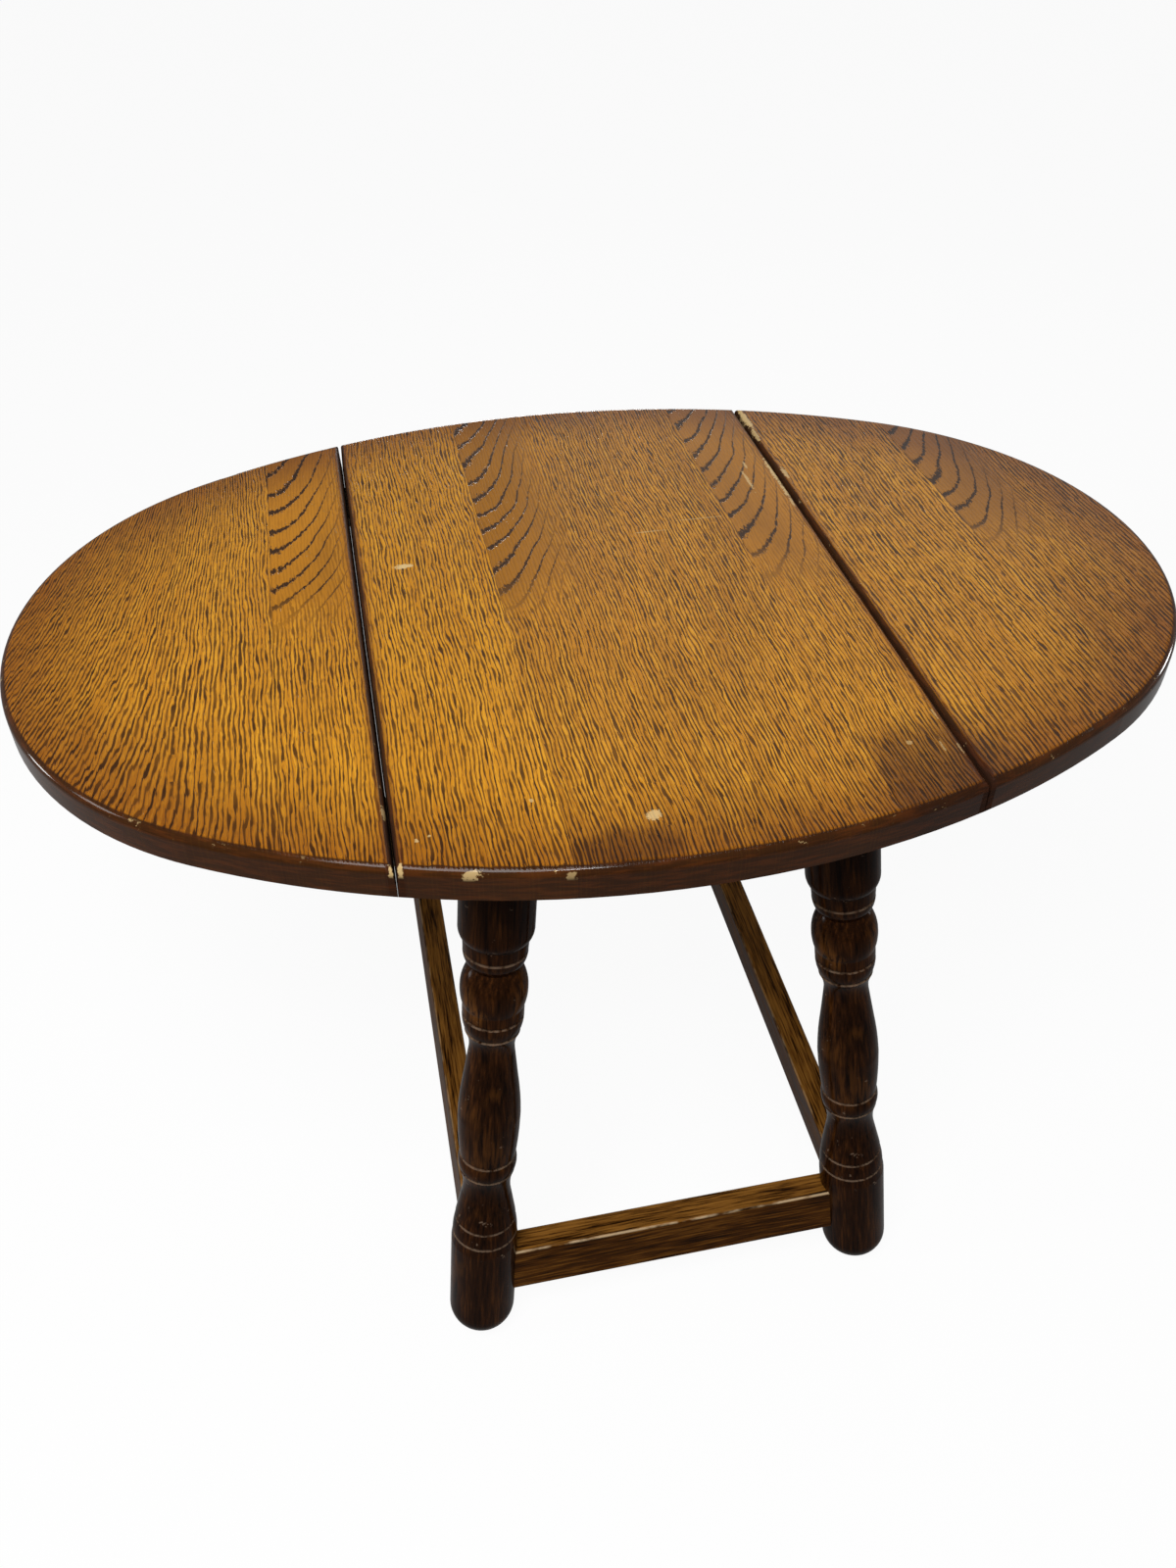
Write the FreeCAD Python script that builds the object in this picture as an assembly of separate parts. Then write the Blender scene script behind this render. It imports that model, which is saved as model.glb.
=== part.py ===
import FreeCAD, Part
import math
import os

Vec = FreeCAD.Vector

# Oval top, in three boards
TOP_LENGTH = 762.0
TOP_DEPTH = 533.0
TOP_THICKNESS = 22.0
TABLE_HEIGHT = 450.0
TOP_END_INSET = 40.5
RIM_ROUND = 5.5
RIM_UNDER_CHAMFER = 1.5
CENTRE_WIDTH = 322.0
LEAF_GAP = 0.1
GAP_TAPER = 1.0
GAP_ROUND = 3.8
GAP_BREAK = 0.2

# Splayed legs
LEG_SET_BACK_X = 62.0
LEG_SET_BACK_Y = 83.5
SPLAY_X = 5.9
SPLAY_Y = 9.1
LEG_SQUARE = 46.0
BLOCK_LENGTH = 44.0

# Turning of a leg, from the foot up
FOOT_TIP_RADIUS = 4.0
FOOT_DOME = 20.0
FOOT_DOME_SWELL = 5.7
FOOT_LENGTH = 68.0
ANKLE_LENGTH = 7.0
ANKLE_RADIUS = 22.2
BAND_LENGTH = 11.0
BAND_RADIUS = 20.6
BAND_SWELL = 0.3
FLARE_LENGTH = 23.0
FLARE_RADIUS = 16.4
COVE_LENGTH = 22.0
COVE_RADIUS = 18.4
COVE_SWELL = -1.3
BEAD_LENGTH = 11.0
BEAD_RADIUS = 18.7
BEAD_SWELL = 0.8
BELLY_LENGTH = 34.0
BELLY_RADIUS = 20.4
BELLY_SWELL = 0.4
WAIST_RADIUS = 17.4
WAIST_SWELL = 0.5
NECK_RADIUS = 14.5
NECK_LENGTH = 23.0
THROAT_LENGTH = 16.0
THROAT_RADIUS = 17.4
THROAT_SWELL = -1.2
CUP_LENGTH = 10.0
CUP_RADIUS = 19.2
CUP_SWELL = 0.5
SLEEVE_LENGTH = 7.0
BULB_LENGTH = 12.0
BULB_RADIUS = 20.9
BULB_SWELL = 0.5
CROWN_LENGTH = 18.0
CROWN_RADIUS = 15.6
CROWN_SWELL = 1.4
LIP_LENGTH = 10.0
LIP_RADIUS = 19.7
LIP_SWELL = 0.9
HEAD_BAND_LENGTH = 8.0
HEAD_BAND_RADIUS = 20.2
SHOULDER_LENGTH = 9.0
SHOULDER_SWELL = 0.9
COLLAR_LENGTH = 35.0
RING_WIDTH = 2.2
RING_LEDGE = 0.5
RING_DEPTH = 1.4

# Rails and stretchers, leaning with the legs
RAIL_THICKNESS = 20.0
RAIL_DEPTH = 40.0
STRETCHER_THICKNESS = 20.0
STRETCHER_DEPTH = 38.0
STRETCHER_MID = 53.0
STRETCHER_ROUND = 2.0
TENON_THICKNESS = 9.0
TENON_SHOULDER = 6.0
TENON_STOP = 7.0
TENON_CLEARANCE = 0.1

# Cleats that hold the centre board down on the rails
CLEAT_SIZE = 18.0
CLEAT_END_GAP_X = 21.0
CLEAT_END_GAP_Y = 50.0
CLEAT_SCREW_INSET = 22.0
CLEAT_SCREW_BITE = 12.0

# Back-flap hinges under the leaves
HINGE_SET_BACK = 80.5
HINGE_LENGTH = 50.0
HINGE_PLATE_WIDTH = 34.0
HINGE_PLATE = 1.6
HINGE_DROP = 3.5
KNUCKLE_RADIUS = 3.2
KNUCKLE_COUNT = 5
KNUCKLE_PLAY = 0.2
KNUCKLE_CLEARANCE = 0.4
HINGE_PIN_RADIUS = 1.5
HINGE_PIN_CLEARANCE = 0.05
HINGE_SCREW_BITE = 14.0
HINGE_SCREW_INSET = 9.0
HINGE_SCREW_OUT = 24.0

# Countersunk wood screws
SCREW_RADIUS = 1.8
SCREW_HEAD_RADIUS = 3.4
SCREW_TIP_LENGTH = 4.0
SCREW_SLOT_WIDTH = 0.8
SCREW_SLOT_DEPTH = 0.7

# Wing brackets that swing out under the leaves
WING_THICKNESS = 18.0
WING_LEG_CLEARANCE = 12.0
WING_HEEL = 24.0
WING_TIP_DEPTH = 18.0
WING_TIP_ROUND = 10.0
WING_CURVE = 5.0
WING_TOP_CLEARANCE = 0.4
WING_FOOT_CLEARANCE = 0.4
WING_RAIL_CLEARANCE = 1.2
WING_PIN_RADIUS = 4.0
WING_PIN_CLEARANCE = 0.08
WING_PIN_LENGTH = 22.0
WING_BORE_SPARE = 1.0
PIVOT_BLOCK_THICKNESS = 18.0
PIVOT_BLOCK_WIDTH = 52.0
PIVOT_BLOCK_RIM = 13.0
PIVOT_SCREW_INSET = 9.0
PIVOT_SCREW_BITE = 20.0

# Places worked out from the sizes above
UNDERSIDE = TABLE_HEIGHT - TOP_THICKNESS
HINGE_LINE = CENTRE_WIDTH / 2
HINGE_AT_Y = TOP_DEPTH / 2 - HINGE_SET_BACK
TOP_END_RADIUS = TOP_DEPTH / 2 - TOP_END_INSET
LEG_TOP_X = HINGE_LINE - LEG_SET_BACK_X
LEG_TOP_Y = TOP_DEPTH / 2 - LEG_SET_BACK_Y
TAN_X = math.tan(math.radians(SPLAY_X))
TAN_Y = math.tan(math.radians(SPLAY_Y))
LEG_RISE = math.sqrt(1.0 + TAN_X ** 2 + TAN_Y ** 2)
LEG_LENGTH = UNDERSIDE * LEG_RISE
LEG_RADIUS = LEG_SQUARE / 2
CLEAT_LENGTH_X = 2 * (LEG_TOP_X - LEG_RADIUS - CLEAT_END_GAP_X)
CLEAT_LENGTH_Y = 2 * (LEG_TOP_Y - LEG_RADIUS - CLEAT_END_GAP_Y)
WING_REACH = LEG_TOP_Y - LEG_RADIUS - WING_LEG_CLEARANCE
RAIL_BOTTOM = UNDERSIDE - RAIL_DEPTH
PIN_HEIGHT = UNDERSIDE - HINGE_DROP
PLATE_BOTTOM = UNDERSIDE - HINGE_PLATE
FAR = 2000.0
SIDES = {"left": -1, "right": 1}
ENDS = {"front": -1, "back": 1}


def leg_axis(height):
    """Distance of a leg's centre line from the middle planes at a height."""
    drop = UNDERSIDE - height
    return LEG_TOP_X + drop * TAN_X, LEG_TOP_Y + drop * TAN_Y


def prism(points, along):
    """Solid swept from a closed outline of straight sides."""
    return Part.Face(Part.makePolygon(points + points[:1])).extrude(along)


def box_between(low, high):
    return Part.makeBox(high.x - low.x, high.y - low.y, high.z - low.z, low)


def cylinder(radius, start, along):
    return Part.makeCylinder(radius, along.Length, start, along)


def save(name, shapes):
    solids = [solid for shape in shapes for solid in shape.Solids]
    shape = solids[0] if len(solids) == 1 else Part.makeCompound(solids)
    shape.exportStep(os.path.join("parts", name + ".step"))
    print(name, len(solids), "solids", round(shape.Volume / 1000.0, 2), "cm3", shape.isValid())


# Oval top

def rim_sector(centre, radius, middle_angle, half_angle):
    """Part of the slab inside one arc of the oval, with its rim rounded over."""
    turn_over = RIM_ROUND * (1 - math.sqrt(0.5))

    def at(inset, z):
        return Vec(radius - inset, 0, z)

    axis_low, axis_high = Vec(0, 0, UNDERSIDE), Vec(0, 0, TABLE_HEIGHT)
    under, over = UNDERSIDE + RIM_UNDER_CHAMFER, TABLE_HEIGHT - RIM_ROUND
    edges = [
        Part.LineSegment(axis_low, at(RIM_UNDER_CHAMFER, UNDERSIDE)).toShape(),
        Part.LineSegment(at(RIM_UNDER_CHAMFER, UNDERSIDE), at(0, under)).toShape(),
        Part.LineSegment(at(0, under), at(0, over)).toShape(),
        Part.Arc(at(0, over), at(turn_over, TABLE_HEIGHT - turn_over), at(RIM_ROUND, TABLE_HEIGHT)).toShape(),
        Part.LineSegment(at(RIM_ROUND, TABLE_HEIGHT), axis_high).toShape(),
        Part.LineSegment(axis_high, axis_low).toShape(),
    ]
    solid = Part.Face(Part.Wire(edges)).revolve(Vec(0, 0, 0), Vec(0, 0, 1), 2 * half_angle)
    solid.rotate(Vec(0, 0, 0), Vec(0, 0, 1), middle_angle - half_angle)
    solid.translate(centre)
    return solid


def oval_slab():
    """Slab whose outline is four tangent arcs: two tight ends and two long sides."""
    half_x = TOP_LENGTH / 2
    half_y = TOP_DEPTH / 2
    end_x = half_x - TOP_END_RADIUS
    side_radius = (half_x ** 2 - 2 * half_x * TOP_END_RADIUS + half_y ** 2) / (2 * (half_y - TOP_END_RADIUS))
    side_y = side_radius - half_y
    end_half = math.degrees(math.atan2(side_y, end_x))
    sectors = []
    for side in SIDES.values():
        sectors.append(rim_sector(Vec(side * end_x, 0, 0), TOP_END_RADIUS, 90 - 90 * side, end_half))
    for end in ENDS.values():
        near, far = sorted((0, end * TOP_DEPTH))
        half = box_between(Vec(-TOP_LENGTH, near, 0), Vec(TOP_LENGTH, far, 2 * TABLE_HEIGHT))
        long_side = rim_sector(Vec(0, -end * side_y, 0), side_radius, 90 * end, 90 - end_half)
        sectors.append(long_side.common(half))
    return sectors[0].fuse(sectors[1:]).removeSplitter()


def gap_cutter(side):
    """Tapered gap between the centre board and a leaf, with both top edges rounded over."""
    foot = LEAF_GAP / 2
    half = foot + GAP_TAPER
    wide = half + GAP_ROUND
    crest = TABLE_HEIGHT + GAP_BREAK
    start = crest - GAP_ROUND
    turn = GAP_ROUND * (1 - math.sqrt(0.5))
    y = -TOP_DEPTH
    x = side * HINGE_LINE
    low = UNDERSIDE - 1.0
    high = TABLE_HEIGHT + 1.0

    def at(dx, z):
        return Vec(x + dx, y, z)

    edges = [
        Part.LineSegment(at(-foot, low), at(-foot, UNDERSIDE)).toShape(),
        Part.LineSegment(at(-foot, UNDERSIDE), at(-half, start)).toShape(),
        Part.Arc(at(-half, start), at(-half - turn, crest - turn), at(-wide, crest)).toShape(),
        Part.LineSegment(at(-wide, crest), at(-wide, high)).toShape(),
        Part.LineSegment(at(-wide, high), at(wide, high)).toShape(),
        Part.LineSegment(at(wide, high), at(wide, crest)).toShape(),
        Part.Arc(at(wide, crest), at(half + turn, crest - turn), at(half, start)).toShape(),
        Part.LineSegment(at(half, start), at(foot, UNDERSIDE)).toShape(),
        Part.LineSegment(at(foot, UNDERSIDE), at(foot, low)).toShape(),
        Part.LineSegment(at(foot, low), at(-foot, low)).toShape(),
    ]
    return Part.Face(Part.Wire(edges)).extrude(Vec(0, 2 * TOP_DEPTH, 0))


def top_boards():
    """Left leaf, centre board and right leaf, cut from one oval slab."""
    slab = oval_slab()
    cut = slab.cut([gap_cutter(side) for side in SIDES.values()])
    return sorted(cut.Solids, key=lambda solid: solid.CenterOfMass.x)


# Turned legs

class Turning:
    """Profile of a turned piece, drawn upwards from the middle of its lower end."""

    def __init__(self):
        self.height = 0.0
        self.radius = 0.0
        self.edges = []

    def to(self, length, radius, swell=0.0):
        """Add a straight run, or an arc that swells outwards or hollows inwards."""
        start = Vec(self.radius, 0, self.height)
        self.height += length
        self.radius = radius
        end = Vec(self.radius, 0, self.height)
        if swell:
            outward = (end - start).cross(Vec(0, -1, 0)).normalize()
            middle = (start + end) * 0.5 + outward * swell
            self.edges.append(Part.Arc(start, middle, end).toShape())
        else:
            self.edges.append(Part.LineSegment(start, end).toShape())

    def ring(self, radius):
        """Incised ring, ending at the radius of the next member."""
        self.to(RING_LEDGE, min(self.radius, radius) - RING_DEPTH)
        self.to(RING_WIDTH - RING_LEDGE, radius)

    def solid(self):
        self.to(0.0, 0.0)
        axis = Part.LineSegment(Vec(0, 0, self.height), Vec(0, 0, 0)).toShape()
        face = Part.Face(Part.Wire(self.edges + [axis]))
        return face.revolve(Vec(0, 0, 0), Vec(0, 0, 1), 360)


def leg_turning():
    """Leg on its own axis: turned from the foot to the collar, square above."""
    foot = Turning()
    foot.to(0.0, FOOT_TIP_RADIUS)
    foot.to(FOOT_DOME, LEG_RADIUS, FOOT_DOME_SWELL)
    foot.to(FOOT_LENGTH, LEG_RADIUS)
    foot.to(ANKLE_LENGTH, ANKLE_RADIUS)
    foot.ring(ANKLE_RADIUS)
    foot.to(BAND_LENGTH, BAND_RADIUS, BAND_SWELL)
    foot.ring(BAND_RADIUS)
    foot.to(FLARE_LENGTH, FLARE_RADIUS)
    foot.to(COVE_LENGTH, COVE_RADIUS, COVE_SWELL)
    foot.ring(BEAD_RADIUS)
    foot.to(BEAD_LENGTH, BEAD_RADIUS, BEAD_SWELL)
    foot.ring(BEAD_RADIUS)
    foot.to(BELLY_LENGTH, BELLY_RADIUS, BELLY_SWELL)
    head = (NECK_LENGTH + THROAT_LENGTH + CUP_LENGTH + SLEEVE_LENGTH + BULB_LENGTH + CROWN_LENGTH + LIP_LENGTH
            + HEAD_BAND_LENGTH + SHOULDER_LENGTH + COLLAR_LENGTH + BLOCK_LENGTH + 3 * RING_WIDTH)
    foot.to(LEG_LENGTH - foot.height - head, WAIST_RADIUS, WAIST_SWELL)
    foot.to(NECK_LENGTH, NECK_RADIUS)
    foot.to(THROAT_LENGTH, THROAT_RADIUS, THROAT_SWELL)
    foot.ring(THROAT_RADIUS)
    foot.to(CUP_LENGTH, CUP_RADIUS, CUP_SWELL)
    foot.ring(CUP_RADIUS)
    foot.to(SLEEVE_LENGTH, CUP_RADIUS)
    foot.to(BULB_LENGTH, BULB_RADIUS, BULB_SWELL)
    foot.to(CROWN_LENGTH, CROWN_RADIUS, CROWN_SWELL)
    foot.to(LIP_LENGTH, LIP_RADIUS, LIP_SWELL)
    foot.ring(LIP_RADIUS)
    foot.to(HEAD_BAND_LENGTH, HEAD_BAND_RADIUS)
    foot.to(SHOULDER_LENGTH, LEG_RADIUS, SHOULDER_SWELL)
    foot.to(COLLAR_LENGTH, LEG_RADIUS)
    block_start = foot.height
    turned = foot.solid()
    block = Part.makeBox(LEG_SQUARE, LEG_SQUARE, BLOCK_LENGTH + LEG_SQUARE,
                         Vec(-LEG_RADIUS, -LEG_RADIUS, block_start))
    return turned.fuse(block).removeSplitter()


def place_leg(shape, side, end):
    """Stand a leg on the floor at one corner, leaning in towards the top."""
    foot_x, foot_y = leg_axis(0.0)
    axis = Vec(-side * TAN_X, -end * TAN_Y, 1.0).normalize()
    across = Vec(1, 0, 0) - axis * axis.x
    turn = FreeCAD.Rotation(across.normalize(), axis.cross(across), axis, "ZXY")
    leg = shape.copy()
    leg.Placement = FreeCAD.Placement(Vec(side * foot_x, end * foot_y, 0), turn)
    room = box_between(Vec(-FAR, -FAR, 0), Vec(FAR, FAR, UNDERSIDE))
    return leg.common(room)


# Rails and stretchers

def bar_across(end, low, high, thickness, square, reach):
    """Bar along X between two legs, in the leaning plane of the front or back legs."""
    lean = math.radians(SPLAY_Y)
    middle = (low + high) / 2
    centre = leg_axis(middle)[1]
    half = thickness / 2
    if square:
        up, out = Vec(0, -math.sin(lean), math.cos(lean)), Vec(0, math.cos(lean), math.sin(lean))
    else:
        up, out = Vec(0, -TAN_Y, 1), Vec(0, 1 / math.cos(lean), 0)
    rise = (high - low) / 2
    ring = [out * half * i + up * rise * j for i, j in ((-1, -1), (1, -1), (1, 1), (-1, 1))]
    points = [Vec(-reach, end * (centre + p.y), middle + p.z) for p in ring]
    return prism(points, Vec(2 * reach, 0, 0))


def bar_along(side, low, high, thickness, square, reach):
    """Bar along Y between two legs, in the leaning plane of the left or right legs."""
    lean = math.radians(SPLAY_X)
    middle = (low + high) / 2
    centre = leg_axis(middle)[0]
    half = thickness / 2
    if square:
        up, out = Vec(-math.sin(lean), 0, math.cos(lean)), Vec(math.cos(lean), 0, math.sin(lean))
    else:
        up, out = Vec(-TAN_X, 0, 1), Vec(1 / math.cos(lean), 0, 0)
    rise = (high - low) / 2
    ring = [out * half * i + up * rise * j for i, j in ((-1, -1), (1, -1), (1, 1), (-1, 1))]
    points = [Vec(side * (centre + p.x), -reach, middle + p.z) for p in ring]
    return prism(points, Vec(0, 2 * reach, 0))


def jointed_bar(make, which, low, high, thickness, square, axis_reach, legs):
    """Bar scribed to the legs, its tenons, and the mortises that the tenons need."""
    body = make(which, low, high, thickness, square, axis_reach)
    if square:
        long_edges = [edge for edge in body.Edges if edge.Length > axis_reach]
        body = body.makeFillet(STRETCHER_ROUND, long_edges)
    body = body.cut(legs)
    tenon = make(which, low + TENON_SHOULDER, high - TENON_SHOULDER, TENON_THICKNESS, square,
                 axis_reach - TENON_STOP)
    spare = TENON_CLEARANCE
    mortise = make(which, low + TENON_SHOULDER - spare, high - TENON_SHOULDER + spare,
                   TENON_THICKNESS + 2 * spare, square, axis_reach - TENON_STOP + spare)
    return body.fuse(tenon).removeSplitter(), mortise


# Fasteners

def screw(start, direction, grip, bite):
    """Countersunk slotted screw: head at start, through the grip, into the wood."""
    cone = SCREW_HEAD_RADIUS - SCREW_RADIUS
    length = grip + bite
    shape = Turning()
    shape.to(0.0, SCREW_HEAD_RADIUS)
    shape.to(cone, SCREW_RADIUS)
    shape.to(length - cone - SCREW_TIP_LENGTH, SCREW_RADIUS)
    shape.to(SCREW_TIP_LENGTH, SCREW_RADIUS / 3)
    plain = shape.solid()
    slot = box_between(Vec(-FAR, -SCREW_SLOT_WIDTH / 2, -1), Vec(FAR, SCREW_SLOT_WIDTH / 2, SCREW_SLOT_DEPTH))
    slotted = plain.cut(slot)
    place = FreeCAD.Placement(start, FreeCAD.Rotation(Vec(0, 0, 1), direction))
    plain.Placement = place
    slotted.Placement = place
    return slotted, plain


# Back-flap hinges

def knuckle_spans():
    pitch = HINGE_LENGTH / KNUCKLE_COUNT
    return [(index * pitch - HINGE_LENGTH / 2, (index + 1) * pitch - HINGE_LENGTH / 2, index % 2)
            for index in range(KNUCKLE_COUNT)]


def hinge_plate(side, centre_y, moving):
    """One flap of a hinge with its own knuckles, clear of the other flap's knuckles."""
    reach = side if moving else -side
    x = side * HINGE_LINE
    near, far = sorted((x, x + reach * HINGE_PLATE_WIDTH))
    half = HINGE_LENGTH / 2
    plate = box_between(Vec(near, centre_y - half, PLATE_BOTTOM), Vec(far, centre_y + half, UNDERSIDE))
    bore = HINGE_PIN_RADIUS + (HINGE_PIN_CLEARANCE if moving else 0.0)
    own, other = [], []
    for low, high, turn in knuckle_spans():
        mine = turn == (1 if moving else 0)
        trim = KNUCKLE_PLAY / 2 if mine else -KNUCKLE_PLAY / 2
        radius = KNUCKLE_RADIUS if mine else KNUCKLE_RADIUS + KNUCKLE_CLEARANCE
        barrel = cylinder(radius, Vec(x, centre_y + low + trim, PIN_HEIGHT), Vec(0, high - low - 2 * trim, 0))
        (own if mine else other).append(barrel)
    pin_way = cylinder(bore, Vec(x, centre_y - HINGE_LENGTH, PIN_HEIGHT), Vec(0, 2 * HINGE_LENGTH, 0))
    return plate.fuse(own).cut(other + [pin_way]).removeSplitter()


def hinge_screw_places(side, centre_y, moving):
    reach = side if moving else -side
    x = side * HINGE_LINE + reach * HINGE_SCREW_OUT
    offset = HINGE_LENGTH / 2 - HINGE_SCREW_INSET
    return [Vec(x, centre_y + step * offset, PLATE_BOTTOM) for step in (-1, 1)]


def leaf_hinges(side):
    """Flaps, pins and screws of the two hinges of one leaf."""
    flaps = {False: [], True: []}
    screws = {False: [], True: []}
    holes = {False: [], True: []}
    pins = []
    for end in ENDS.values():
        centre_y = end * HINGE_AT_Y
        start = Vec(side * HINGE_LINE, centre_y - HINGE_LENGTH / 2, PIN_HEIGHT)
        pins.append(cylinder(HINGE_PIN_RADIUS, start, Vec(0, HINGE_LENGTH, 0)))
        for moving in (False, True):
            pair = [screw(place, Vec(0, 0, 1), HINGE_PLATE, HINGE_SCREW_BITE)
                    for place in hinge_screw_places(side, centre_y, moving)]
            bodies = [plain for slotted, plain in pair]
            flaps[moving].append(hinge_plate(side, centre_y, moving).cut(bodies))
            screws[moving] += [slotted for slotted, plain in pair]
            holes[moving] += bodies
    return flaps, screws, holes, pins


# Wing brackets

def wing_pivot(side):
    face = leg_axis(RAIL_BOTTOM)[0] + RAIL_THICKNESS / 2 / math.cos(math.radians(SPLAY_X))
    return side * (face + WING_RAIL_CLEARANCE + WING_THICKNESS / 2)


def wing(side):
    """Wing folded back along its rail: straight top, ogee lower edge, round pivot edge."""
    x = wing_pivot(side) - WING_THICKNESS / 2
    low = RAIL_BOTTOM + WING_FOOT_CLEARANCE
    high = UNDERSIDE - WING_TOP_CLEARANCE
    heel = Vec(x, WING_HEEL, low)
    toe = Vec(x, WING_REACH - WING_TIP_ROUND, high - WING_TIP_DEPTH)
    middle = (heel + toe) * 0.5
    slope = (toe - heel).cross(Vec(1, 0, 0)).normalize() * WING_CURVE
    nose_turn = WING_TIP_ROUND * (1 - math.sqrt(0.5))
    nose = Vec(x, WING_REACH, toe.z + WING_TIP_ROUND)
    nose_mid = Vec(x, WING_REACH - nose_turn, toe.z + nose_turn)
    edges = [
        Part.LineSegment(Vec(x, 0, low), heel).toShape(),
        Part.Arc(heel, (heel + middle) * 0.5 - slope, middle).toShape(),
        Part.Arc(middle, (middle + toe) * 0.5 + slope, toe).toShape(),
        Part.Arc(toe, nose_mid, nose).toShape(),
        Part.LineSegment(nose, Vec(x, WING_REACH, high)).toShape(),
        Part.LineSegment(Vec(x, WING_REACH, high), Vec(x, 0, high)).toShape(),
        Part.LineSegment(Vec(x, 0, high), Vec(x, 0, low)).toShape(),
    ]
    board = Part.Face(Part.Wire(edges)).extrude(Vec(WING_THICKNESS, 0, 0))
    barrel = cylinder(WING_THICKNESS / 2, Vec(wing_pivot(side), 0, low), Vec(0, 0, high - low))
    bore = WING_PIN_RADIUS + WING_PIN_CLEARANCE
    depth = WING_PIN_LENGTH / 2 + WING_BORE_SPARE
    upper = cylinder(bore, Vec(wing_pivot(side), 0, high - depth), Vec(0, 0, depth))
    lower = cylinder(bore, Vec(wing_pivot(side), 0, low), Vec(0, 0, depth))
    return board.fuse(barrel).cut([upper, lower]).removeSplitter()


def wing_pins(side):
    """Steel pins of a wing: one down from the centre board, one up from the block."""
    half = WING_PIN_LENGTH / 2
    x = wing_pivot(side)
    return [cylinder(WING_PIN_RADIUS, Vec(x, 0, UNDERSIDE - half), Vec(0, 0, WING_PIN_LENGTH)),
            cylinder(WING_PIN_RADIUS, Vec(x, 0, RAIL_BOTTOM - half), Vec(0, 0, WING_PIN_LENGTH))]


def pivot_block(side):
    """Block under the side rail, rounded round the wing's lower pin."""
    inner = leg_axis(RAIL_BOTTOM)[0] - RAIL_THICKNESS / 2 / math.cos(math.radians(SPLAY_X))
    centre = abs(wing_pivot(side))
    half = PIVOT_BLOCK_WIDTH / 2
    low = RAIL_BOTTOM - PIVOT_BLOCK_THICKNESS
    near, far = sorted((side * inner, side * centre))
    slab = box_between(Vec(near, -half, low), Vec(far, half, RAIL_BOTTOM))
    nose = [Vec(side * centre, -half, low), Vec(side * (centre + PIVOT_BLOCK_RIM), 0, low),
            Vec(side * centre, half, low)]
    face = Part.Face(Part.Wire([Part.Arc(*nose).toShape(), Part.LineSegment(nose[2], nose[0]).toShape()]))
    return slab.fuse(face.extrude(Vec(0, 0, PIVOT_BLOCK_THICKNESS))).removeSplitter()


def pivot_screws(side):
    x = side * leg_axis(RAIL_BOTTOM)[0]
    offset = PIVOT_BLOCK_WIDTH / 2 - PIVOT_SCREW_INSET
    low = RAIL_BOTTOM - PIVOT_BLOCK_THICKNESS
    return [screw(Vec(x, step * offset, low), Vec(0, 0, 1), PIVOT_BLOCK_THICKNESS, PIVOT_SCREW_BITE)
            for step in (-1, 1)]


# Fixing cleats

def cleat_across(end):
    """Cleat along the inner face of the front or back rail."""
    lean = math.cos(math.radians(SPLAY_Y))
    low = UNDERSIDE - CLEAT_SIZE
    upper = leg_axis(UNDERSIDE)[1] - RAIL_THICKNESS / 2 / lean
    lower = leg_axis(low)[1] - RAIL_THICKNESS / 2 / lean
    inner = upper - CLEAT_SIZE
    start = -CLEAT_LENGTH_X / 2
    points = [Vec(start, end * inner, low), Vec(start, end * lower, low),
              Vec(start, end * upper, UNDERSIDE), Vec(start, end * inner, UNDERSIDE)]
    places = [Vec(step * (CLEAT_LENGTH_X / 2 - CLEAT_SCREW_INSET), end * (upper - CLEAT_SIZE / 2), low)
              for step in (-1, 1)]
    return prism(points, Vec(CLEAT_LENGTH_X, 0, 0)), places


def cleat_along(side):
    """Cleat along the inner face of the left or right rail."""
    lean = math.cos(math.radians(SPLAY_X))
    low = UNDERSIDE - CLEAT_SIZE
    upper = leg_axis(UNDERSIDE)[0] - RAIL_THICKNESS / 2 / lean
    lower = leg_axis(low)[0] - RAIL_THICKNESS / 2 / lean
    inner = upper - CLEAT_SIZE
    start = -CLEAT_LENGTH_Y / 2
    points = [Vec(side * inner, start, low), Vec(side * lower, start, low),
              Vec(side * upper, start, UNDERSIDE), Vec(side * inner, start, UNDERSIDE)]
    places = [Vec(side * (upper - CLEAT_SIZE / 2), step * (CLEAT_LENGTH_Y / 2 - CLEAT_SCREW_INSET), low)
              for step in (-1, 1)]
    return prism(points, Vec(0, CLEAT_LENGTH_Y, 0)), places


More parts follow.
